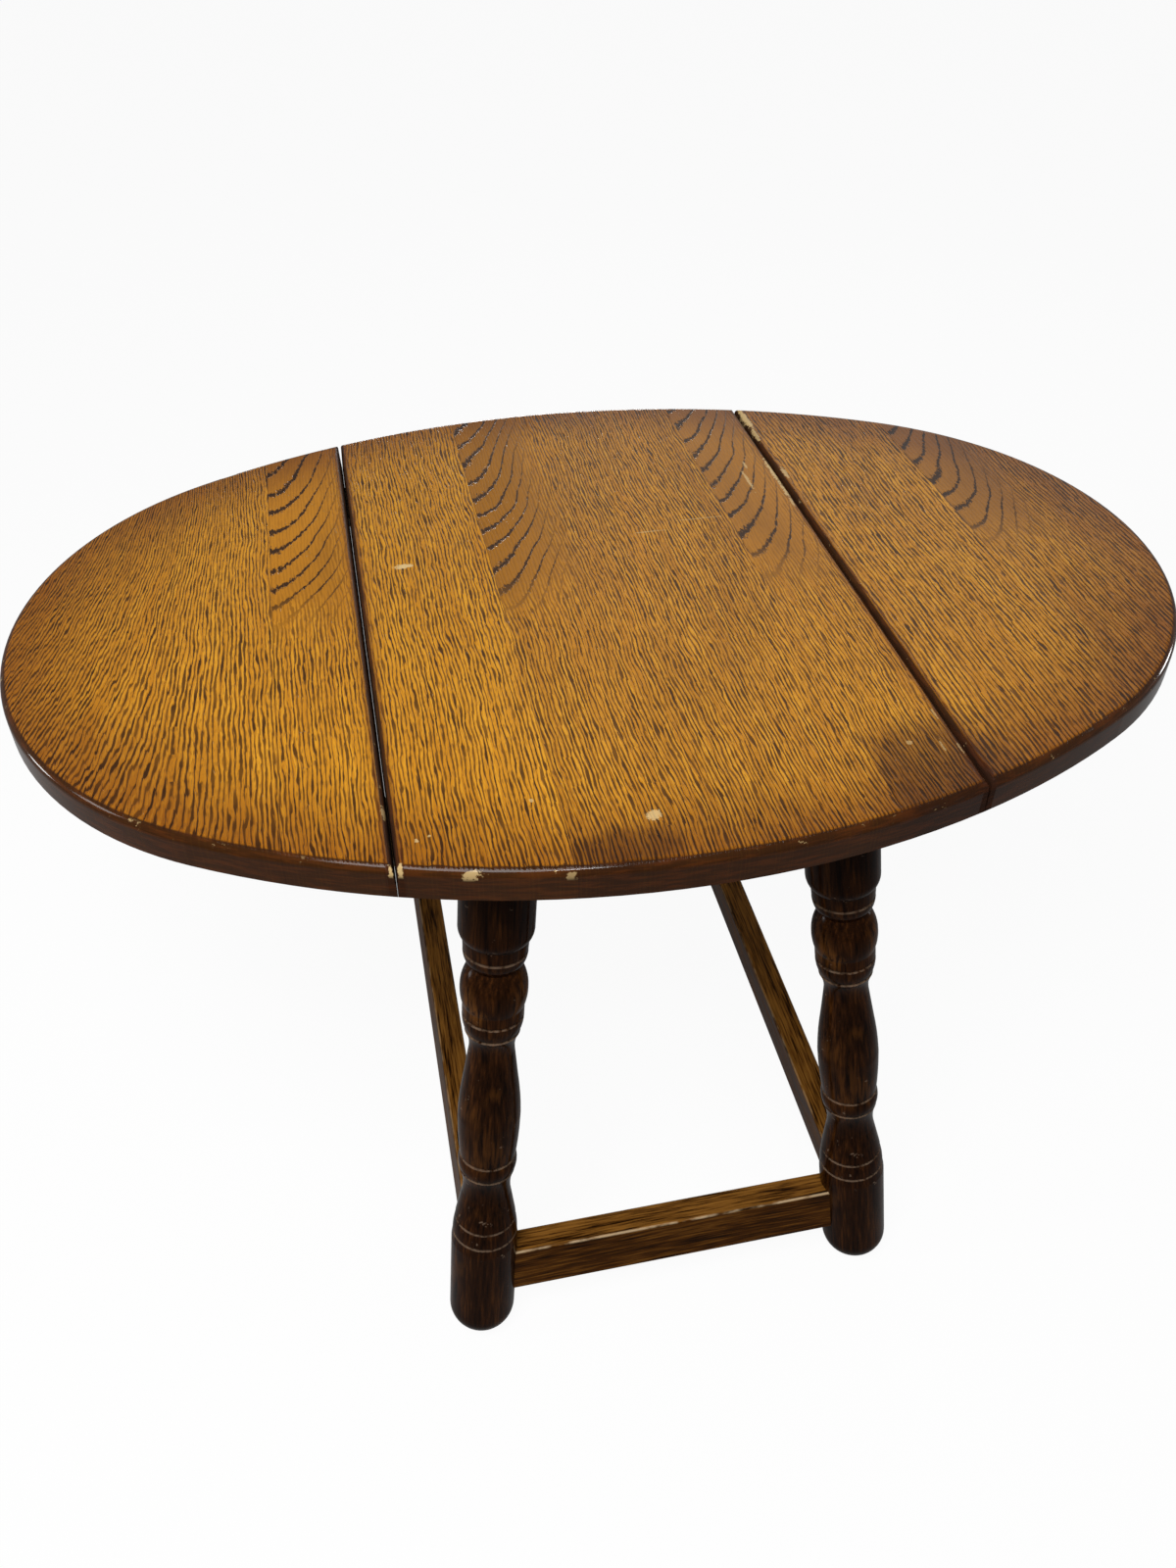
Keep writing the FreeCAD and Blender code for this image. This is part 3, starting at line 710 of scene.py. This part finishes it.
    def _wear(self, finish: Finish, colour: Wave, x: Wave, y: Wave, z: Wave) -> Wave:
        """Rub the arrises pale in places and add the knocks.

        Args:
            finish: Material to draw in.
            colour: Shaded colour.
            x: Place across the boards.
            y: Place along the fibres.
            z: Height.

        Returns:
            The worn colour.
        """
        point = finish.point(x, y, z)
        rub = finish.noise(point, self.rub).rise(*self.rub_span)
        arris = (1.0 - self._sunk(z, self.arris_foot)) * self._sunk(z, self.arris_top)
        colour = finish.mix(arris * rub * self.rub_share, colour, self.worn)
        rag = (finish.noise(point, self.rag) - 0.5) * self.rag_size
        knocks: Operand = 0.0
        for mark in self.marks:
            spot = 1.0 - (mark.reach(x, y) + rag).rise(*self.mark_edge)
            knocks = (spot * mark.strength).larger(knocks)
        return finish.mix(knocks * (1.0 - self._sunk(z, self.mark_depth)), colour, self.worn)

    def _gloss(self, finish: Finish, pores: Wave, x: Wave, y: Wave, z: Wave) -> Wave:
        """Polish the edge more than the face, and dull the gaps.

        Args:
            finish: Material to draw in.
            pores: Pore mask.
            x: Place across the boards.
            y: Place along the fibres.
            z: Height.

        Returns:
            The roughness.
        """
        haze = finish.noise(finish.point(x * self.haze_across, y, z), self.haze)
        gloss = haze.rise(*self.haze_span) * self.haze_share + self.roughness + pores * self.pore_haze
        side = self._sunk(z, self.side_depth)
        gap = (1.0 - self._off_gap(x).rise(*self.gap_half)) * side * self.gap_roughness
        return (gloss * (1.0 - side * self.side_polish)).larger(gap)


@dataclass(frozen=True)
class LegStain:
    """Very dark semi-gloss stain, its grain along the leg, with pale scuffs and a painted highlight on its
    ring ledges.
    """

    name: str
    foot: Vector
    axis: Vector
    fibre: Speckle = Speckle(560.0, 3.0, 0.6, 0.070)
    band: Speckle = Speckle(110.0, 2.0, 0.5, 0.14)
    cloud: Speckle = Speckle(26.0, 3.0, 0.55, 0.45)
    shares: Place = (0.50, 0.30, 0.20)
    deep: Colour = (0.0050, 0.0016, 0.0006)
    base: Colour = (0.022, 0.0070, 0.0019)
    warm: Colour = (0.070, 0.0230, 0.0048)
    stops: Place = (0.38, 0.52, 0.66)
    amber: Colour = (0.130, 0.0470, 0.0085)
    amber_fibre: Span = (0.35, 0.55)
    glow: Speckle = Speckle(34.0, 2.0, 0.5, 0.8)
    glow_span: Span = (0.54, 0.70)
    glow_share: float = 0.28
    ball_foot: Span = (0.286, 0.300)
    ball_crown: Span = (0.308, 0.326)
    ball_span: Span = (0.40, 0.58)
    ball_share: float = 0.75
    # Pale colour of the scuffs, also used for the painted highlight on the ring ledges
    worn: Colour = (0.36, 0.25, 0.17)
    scuff: Speckle = Speckle(130.0, 3.0, 0.7)
    scuff_span: Span = (0.66, 0.72)
    scuff_share: float = 0.30
    # Ring ledges that carry a painted highlight, and its half width, break-up and strength
    ledges: Tuple[float, ...] = (0.0952, 0.1084, 0.1556, 0.1688, 0.2763, 0.2885, 0.3377)
    ledge_half: float = 0.0007
    ledge_span: Span = (0.32, 0.56)
    ledge_share: float = 0.34
    roughness: float = 0.11
    rough_span: Span = (0.35, 0.75)
    rough_share: float = 0.14
    specular: float = 0.04
    relief: float = 0.10

    def make(self) -> bpy.types.Material:
        """Build the material."""
        finish = Finish(self.name)
        local = finish.vector("SUBTRACT", finish.place(), self.foot)
        rise = finish.vector("DOT_PRODUCT", local, self.axis, "Value")
        along = finish.node("ShaderNodeVectorMath", {"operation": "SCALE"}, {0: self.axis, "Scale": rise})
        x, y, _ = finish.axes(finish.vector("SUBTRACT", local, along))
        fibre, band, cloud, glow, scuff = (
            finish.noise(finish.point(x, y, rise * speckle.stretch), speckle)
            for speckle in (self.fibre, self.band, self.cloud, self.glow, self.scuff))
        grain = fibre * self.shares[0] + band * self.shares[1] + cloud * self.shares[2]
        colour = finish.ramp(grain, self.stops, (self.deep, self.base, self.warm))
        ball = rise.rise(*self.ball_foot) * (1.0 - rise.rise(*self.ball_crown))
        patch = glow.rise(*self.glow_span) * self.glow_share
        patch = patch.larger(ball * glow.rise(*self.ball_span) * self.ball_share)
        colour = finish.mix(patch * fibre.rise(*self.amber_fibre), colour, self.amber)
        colour = finish.mix(scuff.rise(*self.scuff_span) * self.scuff_share, colour, self.worn)
        # Painted highlight on the ring ledges
        ledge_highlight: Operand = 0.0
        for ledge in self.ledges:
            ledge_highlight = (1.0 - (rise - ledge).size().rise(0.0, self.ledge_half)).larger(ledge_highlight)
        ledge_highlight = ledge_highlight * scuff.rise(*self.ledge_span) * self.ledge_share
        finish.set("Base Color", finish.mix(ledge_highlight, colour, self.worn))
        finish.set("Roughness", scuff.rise(*self.rough_span) * self.rough_share + self.roughness)
        finish.set("Specular IOR Level", self.specular)
        finish.bump(fibre, self.relief)
        return finish.material


@dataclass(frozen=True)
class BarStain:
    """Satin brown stain with strong grain lines along a leaning bar, painted light on its top face and a
    painted highlight along its arrises.
    """

    name: str
    middle: Vector
    run: Vector
    out: Vector
    up: Vector
    # Strength of the painted highlight along the arrises
    rub_share: float
    half_out: float = 0.010
    half_up: float = 0.019
    sway: Speckle = Speckle(9.0, 2.0)
    sway_size: float = 0.006
    fine: Speckle = Speckle(900.0, 3.0, 0.6, 0.055)
    lines: Speckle = Speckle(480.0, 2.0, 0.6, 0.040)
    broad: Speckle = Speckle(50.0, 3.0, 0.5, 0.20)
    shares: Place = (0.36, 0.46, 0.18)
    deep: Colour = (0.010, 0.0032, 0.0006)
    base: Colour = (0.066, 0.0208, 0.0024)
    pale: Colour = (0.190, 0.0760, 0.0115)
    stops: Place = (0.40, 0.51, 0.64)
    # Painted light on the bar's top face: its colour, depth, break-up and strength
    painted_top_light: Colour = (0.300, 0.1300, 0.0220)
    painted_top_light_depth: Span = (0.0014, 0.0003)
    painted_top_light_span: Span = (0.40, 0.58)
    painted_top_light_share: float = 0.60
    # Painted highlight along the arrises: its colour, place and break-up
    worn: Colour = (0.60, 0.44, 0.26)
    arris: Span = (0.0018, 0.0006)
    rub: Speckle = Speckle(85.0, 3.0, 0.65, 0.5)
    rub_span: Span = (0.36, 0.56)
    roughness: float = 0.28
    rough_span: Span = (0.35, 0.70)
    rough_share: float = 0.16
    specular: float = 0.03
    relief: float = 0.16

    def make(self) -> bpy.types.Material:
        """Build the material."""
        finish = Finish(self.name)
        local = finish.vector("SUBTRACT", finish.place(), self.middle)
        run, out, up = (finish.vector("DOT_PRODUCT", local, way, "Value")
                        for way in (self.run, self.out, self.up))
        sway = (finish.noise(finish.point(run, out, up), self.sway) - 0.5) * self.sway_size
        fine, lines = (finish.noise(finish.point(run * speckle.stretch, out, up + sway), speckle)
                       for speckle in (self.fine, self.lines))
        broad, rub = (finish.noise(finish.point(run * speckle.stretch, out, up), speckle)
                      for speckle in (self.broad, self.rub))
        grain = fine * self.shares[0] + lines * self.shares[1] + broad * self.shares[2]
        colour = finish.ramp(grain, self.stops, (self.deep, self.base, self.pale))
        # Painted light on the top face
        painted_top_light = self._near(up, self.half_up, self.painted_top_light_depth) * grain.rise(*self.painted_top_light_span)
        colour = finish.mix(painted_top_light * self.painted_top_light_share, colour, self.painted_top_light)
        # Painted highlight along the arrises, drawn in the pale wear colour
        edge = self._near(out.size(), self.half_out, self.arris)
        edge = edge * self._near(up.size(), self.half_up, self.arris)
        colour = finish.mix(edge * rub.rise(*self.rub_span) * self.rub_share, colour, self.worn)
        finish.set("Base Color", colour)
        finish.set("Roughness", lines.rise(*self.rough_span) * self.rough_share + self.roughness)
        finish.set("Specular IOR Level", self.specular)
        finish.bump(fine, self.relief)
        return finish.material

    @staticmethod
    def _near(offset: Wave, half: float, depths: Span) -> Wave:
        """Rise from 0 to 1 between two depths under a face.

        Args:
            offset: Distance from the bar's middle.
            half: Distance of the face.
            depths: Depths at which the result is 0 and 1.

        Returns:
            The smoothed result.
        """
        return offset.rise(half - depths[0], half - depths[1])


@dataclass(frozen=True)
class PlainWood:
    """Unlacquered brown wood of the hidden rails, cleats and wings."""

    name: str
    grain: Grain
    lines: Speckle = Speckle(210.0, 4.0, 0.6, 0.04)
    broad: Speckle = Speckle(40.0, 2.0, 0.5, 0.1)
    shares: Span = (0.6, 0.4)
    deep: Colour = (0.070, 0.030, 0.0145)
    base: Colour = (0.155, 0.073, 0.034)
    pale: Colour = (0.245, 0.130, 0.066)
    stops: Place = (0.34, 0.50, 0.68)
    roughness: float = 0.55
    relief: float = 0.15
    relief_depth: float = 0.0006

    def make(self) -> bpy.types.Material:
        """Build the material."""
        finish = Finish(self.name)
        x, y, z = finish.axes(finish.place())
        run, side = (x, y) if self.grain is Grain.ALONG_X else (y, x)
        lines, broad = (finish.noise(finish.point(run * speckle.stretch, side, z), speckle)
                        for speckle in (self.lines, self.broad))
        mixed = lines * self.shares[0] + broad * self.shares[1]
        finish.set("Base Color", finish.ramp(mixed, self.stops, (self.deep, self.base, self.pale)))
        finish.set("Roughness", self.roughness)
        finish.bump(lines, self.relief, self.relief_depth)
        return finish.material


@dataclass(frozen=True)
class Metal:
    """Plain metal of the hinges, pins and screws, a little tarnished."""

    name: str
    clean: Colour
    tarnish: Colour
    roughness: float
    cloud: Speckle = Speckle(140.0, 4.0, 0.6)
    cloud_span: Span = (0.4, 0.7)
    rough_share: float = 0.2

    def make(self) -> bpy.types.Material:
        """Build the material."""
        finish = Finish(self.name)
        cloud = finish.noise(finish.place(), self.cloud)
        finish.set("Base Color", finish.mix(cloud.rise(*self.cloud_span), self.clean, self.tarnish))
        finish.set("Metallic", 1.0)
        finish.set("Roughness", cloud * self.rough_share + self.roughness)
        return finish.material


def dress(node: str, material: bpy.types.Material) -> None:
    """Give a solid its finish.

    Args:
        node: Name of the solid.
        material: Finish to give it.
    """
    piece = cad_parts[node]
    piece.data.materials.clear()
    piece.data.materials.append(material)
    LOG.info("%s wears %s", node, material.name)


@dataclass
class Top:
    """Centre board and the two hinged leaves."""

    boards: Tuple[str, ...] = ("centre_board", "leaf_left", "leaf_right")

    def build(self) -> None:
        """Lacquer the three boards."""
        lacquer = TopLacquer().make()
        for node in self.boards:
            dress(node, lacquer)


@dataclass
class Frame:
    """Splayed legs, stretchers, and the rails, cleats and wings under the top."""

    ends: Tuple[Tuple[str, float], ...] = (("front", -1.0), ("back", 1.0))
    sides: Tuple[Tuple[str, float], ...] = (("left", -1.0), ("right", 1.0))
    underside: float = 0.428
    leg_top: Span = (0.099, 0.183)
    splay: Span = (math.radians(5.9), math.radians(9.1))
    stretcher_mid: float = 0.053
    # Strength of the painted highlight along the arrises of the side and of the end stretchers
    bar_arris_highlight_shares: Span = (0.28, 0.80)

    def build(self) -> None:
        """Stain every wooden piece below the top."""
        plain_x = PlainWood("plain_wood_across", Grain.ALONG_X).make()
        plain_y = PlainWood("plain_wood_along", Grain.ALONG_Y).make()
        for end, y in self.ends:
            for side, x in self.sides:
                dress(f"leg_{end}_{side}", self._leg_stain(f"{end}_{side}", x, y).make())
            dress(f"stretcher_{end}", self._bar_stain(end, 1, y).make())
            for piece in ("rail", "cleat"):
                dress(f"{piece}_{end}", plain_x)
        for side, x in self.sides:
            dress(f"stretcher_{side}", self._bar_stain(side, 0, x).make())
            for piece in ("rail", "cleat", "wing", "wing_block"):
                dress(f"{piece}_{side}", plain_y)

    def _leg_stain(self, corner: str, x: float, y: float) -> LegStain:
        """Lay a stain along one leg.

        Args:
            corner: Name of the leg's corner.
            x: Side on which it stands, -1 or 1.
            y: End at which it stands, -1 or 1.

        Returns:
            The stain.
        """
        spread = [top + self.underside * math.tan(lean) for top, lean in zip(self.leg_top, self.splay)]
        foot = Vector((x * spread[0], y * spread[1], 0.0))
        axis = Vector((-x * math.tan(self.splay[0]), -y * math.tan(self.splay[1]), 1.0)).normalized()
        return LegStain(f"leg_stain_{corner}", foot, axis)

    def _bar_stain(self, place: str, across: int, sign: float) -> BarStain:
        """Lay a stain along one stretcher.

        Args:
            place: Name of the stretcher's place.
            across: Axis on which it stands off the middle, 0 for X and 1 for Y.
            sign: Side on which it stands, -1 or 1.

        Returns:
            The stain.
        """
        lean = self.splay[across]
        off = self.leg_top[across] + (self.underside - self.stretcher_mid) * math.tan(lean)
        middle, run, out, up = Vector(), Vector(), Vector(), Vector()
        middle[across], middle.z = sign * off, self.stretcher_mid
        run[1 - across] = 1.0
        out[across], out.z = sign * math.cos(lean), math.sin(lean)
        up[across], up.z = -sign * math.sin(lean), math.cos(lean)
        return BarStain(f"bar_stain_{place}", middle, run, out, up, self.bar_arris_highlight_shares[across])


@dataclass
class Hardware:
    """Back-flap hinges, pivot pins and screws."""

    steel: Metal = Metal("plain_steel", (0.46, 0.45, 0.43), (0.24, 0.22, 0.20), 0.30)
    brass: Metal = Metal("dull_brass", (0.56, 0.40, 0.17), (0.28, 0.18, 0.075), 0.32)
    sides: Tuple[str, ...] = ("left", "right")
    plates: Tuple[str, ...] = ("hinge_board_plates", "hinge_leaf_plates")
    fixings: Tuple[str, ...] = ("hinge_pins", "hinge_board_screws", "hinge_leaf_screws", "wing_pins")
    screws: Tuple[str, ...] = ("cleat_screws", "wing_block_screws")

    def build(self) -> None:
        """Give every metal piece its finish."""
        steel = self.steel.make()
        brass = self.brass.make()
        for side in self.sides:
            for piece in self.plates:
                dress(f"{piece}_{side}", brass)
            for piece in self.fixings:
                dress(f"{piece}_{side}", steel)
        for node in self.screws:
            dress(node, steel)


@dataclass(frozen=True)
class Lamp:
    """A square soft lamp: its place, side and power."""

    place: Place
    side: float
    power: float


@dataclass(frozen=True)
class Fill:
    """A parallel light along the floor: the way it comes from and its strength."""

    source: Place
    strength: float


@dataclass
class Studio:
    """Pale floor, soft lamps and the camera at the photograph's angle."""

    camera_place: Place = (-0.15805, -0.7055, 0.8966)
    elevation: float = 40.76
    turn: float = 11.72
    lens: float = 29.09
    sensor: float = 36.0
    floor_side: float = 12.0
    floor_colour: Colour = (0.30, 0.30, 0.30)
    floor_roughness: float = 0.9
    floor_specular: float = 0.1
    floor_chalk: Colour = (0.92, 0.92, 0.92)
    floor_glow: float = 0.94
    mirror_share: float = 0.15
    surround: float = 0.20
    lamps: Tuple[Lamp, ...] = (
        Lamp((-0.42, -0.74, 1.55), 0.7, 18.0),
        Lamp((-1.9, -0.1, 1.15), 0.4, 5.0),
        Lamp((0.85, 1.4, 1.2), 1.4, 3.0),
        Lamp((-0.1, -1.6, 2.5), 0.2, 8.0),
    )
    lamp_target: Place = (0.0, 0.0, 0.35)
    fills: Tuple[Fill, ...] = (
        Fill((0.15, 1.0, 0.0), 0.50),
        Fill((1.0, 0.25, 0.0), 0.50),
        Fill((-1.0, 0.35, 0.0), 0.45),
    )
    fill_spread: float = math.radians(10.0)

    def build(self) -> None:
        """Lay the floor, hang the lamps and set the camera."""
        self._floor()
        self._world()
        self._lamps()
        self._camera()

    def _floor(self) -> None:
        """Lay a plain pale floor that the camera sees as white, with a soft shadow."""
        bpy.ops.mesh.primitive_plane_add(size=self.floor_side, location=(0.0, 0.0, 0.0))
        floor = bpy.context.object
        floor.name = "floor"
        finish = Finish("pale_floor")
        finish.set("Base Color", self.floor_colour)
        finish.set("Roughness", self.floor_roughness)
        finish.set("Specular IOR Level", self.floor_specular)
        chalk = finish.node("ShaderNodeBsdfDiffuse", None, {0: self.floor_chalk})
        glow = finish.node("ShaderNodeEmission", None, {0: WHITE, 1: 1.0})
        bright = finish.node("ShaderNodeMixShader", None, {0: self.floor_glow, 1: chalk, 2: glow})
        self._show(finish, "Material Output", Wave(finish, finish.shader.outputs[0]), bright)
        floor.data.materials.append(finish.material)

    def _world(self) -> None:
        """Set an even pale surround that the camera sees as white."""
        world = bpy.data.worlds.new("surround")
        bpy.context.scene.world = world
        world.use_nodes = True
        canvas = Canvas(world.node_tree)
        soft = canvas.tree.nodes["Background"]
        canvas.feed(soft.inputs[0], WHITE)
        canvas.feed(soft.inputs[1], self.surround)
        white = canvas.node("ShaderNodeBackground", None, {0: WHITE, 1: 1.0})
        self._show(canvas, "World Output", Wave(canvas, soft.outputs[0]), white)

    def _show(self, canvas: Canvas, output: str, lighting: Wave, shown: Wave) -> None:
        """Use one shader for the light it gives and another for what is seen.

        Args:
            canvas: Tree of the floor or the world.
            output: Name of its output node.
            lighting: Shader that lights the table.
            shown: Shader that the camera sees, and mirrors in part.
        """
        factor = canvas.seen(self.mirror_share)
        mixed = canvas.node("ShaderNodeMixShader", None, {0: factor, 1: lighting, 2: shown})
        canvas.feed(canvas.tree.nodes[output].inputs[0], mixed)

    def _lamps(self) -> None:
        """Hang the soft lamps, turned to the table, and the low fills."""
        for index, lamp in enumerate(self.lamps):
            place = Vector(lamp.place)
            light = self._light(f"lamp_{index}", LightKind.SOFT, lamp.power, Vector(self.lamp_target) - place)
            light.location = place
            light.data.size = lamp.side
        for index, fill in enumerate(self.fills):
            light = self._light(f"fill_{index}", LightKind.PARALLEL, fill.strength, -Vector(fill.source))
            light.data.angle = self.fill_spread

    @staticmethod
    def _light(name: str, kind: LightKind, energy: float, aim: Vector) -> bpy.types.Object:
        """Add one light.

        Args:
            name: Its name.
            kind: Its kind.
            energy: Its power or strength.
            aim: Way in which it shines.

        Returns:
            The light's object.
        """
        data = bpy.data.lights.new(name, kind.value)
        data.energy = energy
        light = bpy.data.objects.new(name, data)
        bpy.context.scene.collection.objects.link(light)
        light.rotation_euler = aim.to_track_quat("-Z", "Y").to_euler()
        return light

    def _camera(self) -> None:
        """Set the camera where the photograph was taken from."""
        data = bpy.data.cameras.new("camera")
        data.lens = self.lens
        data.sensor_width = self.sensor
        data.sensor_fit = "AUTO"
        camera = bpy.data.objects.new("camera", data)
        bpy.context.scene.collection.objects.link(camera)
        camera.location = self.camera_place
        camera.rotation_euler = (math.radians(90.0 - self.elevation), 0.0, math.radians(-self.turn))
        bpy.context.scene.camera = camera


def main() -> None:
    """Build the table's looks in order."""
    logging.basicConfig(level=logging.INFO)
    bpy.context.scene.view_settings.view_transform = "Standard"
    Top().build()
    Frame().build()
    Hardware().build()
    Studio().build()


if __name__ == "__main__":
    main()
